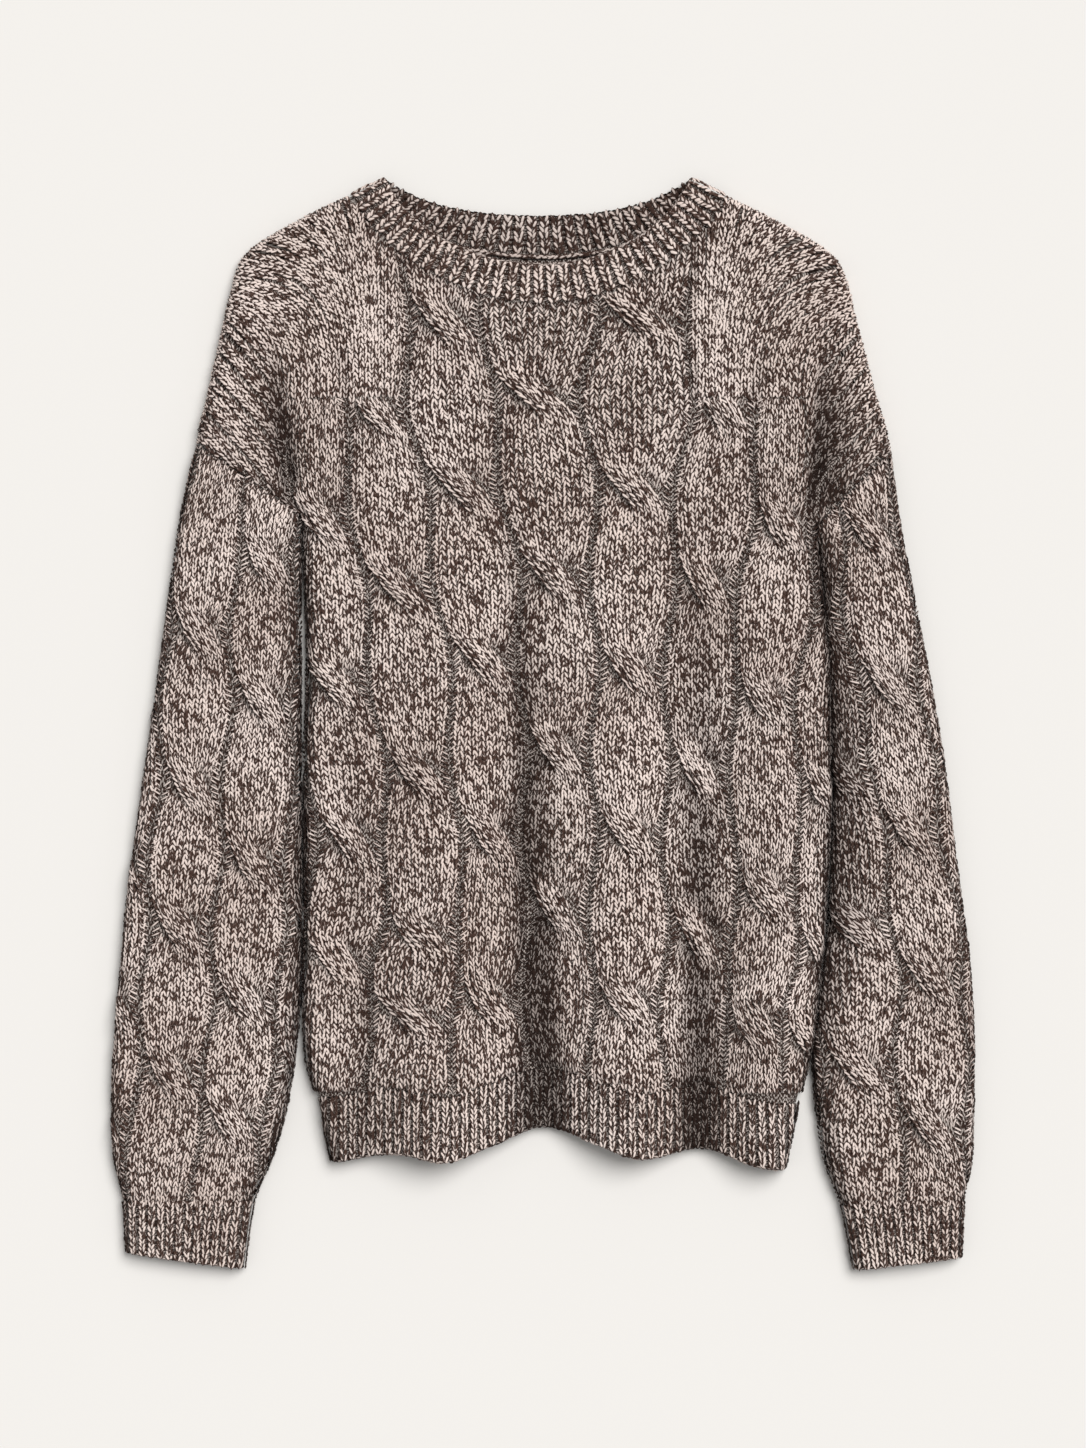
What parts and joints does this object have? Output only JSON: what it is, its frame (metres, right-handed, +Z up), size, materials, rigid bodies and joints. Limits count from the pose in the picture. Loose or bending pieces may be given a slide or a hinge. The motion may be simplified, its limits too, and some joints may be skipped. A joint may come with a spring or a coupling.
{
  "type": "cable knit sweater, laid flat",
  "caption": "Crew neck cable knit sweater in dark brown and off-white marl wool, laid flat on its back with its arms at its sides.",
  "frame": {"origin": "middle of the garment's box, on the surface it lies on", "axes": "+Y from the hem to the neck, +Z up from the surface, +X towards the wearer's left sleeve"},
  "size_m": [0.566, 0.7161, 0.0284],
  "materials": {
    "cable_knit": "matte wool knit in dark brown and off-white marl yarn",
    "rib_knit": "matte wool 1x1 rib in the same marl yarn"
  },
  "bodies": {
    "root": {"front_panel": "cable_knit", "back_panel": "cable_knit", "front_hem_rib": "rib_knit", "back_hem_rib": "rib_knit", "neckband": "rib_knit", "right_sleeve": "cable_knit", "right_cuff": "rib_knit", "left_sleeve": "cable_knit", "left_cuff": "rib_knit"}
  },
  "joints": []
}
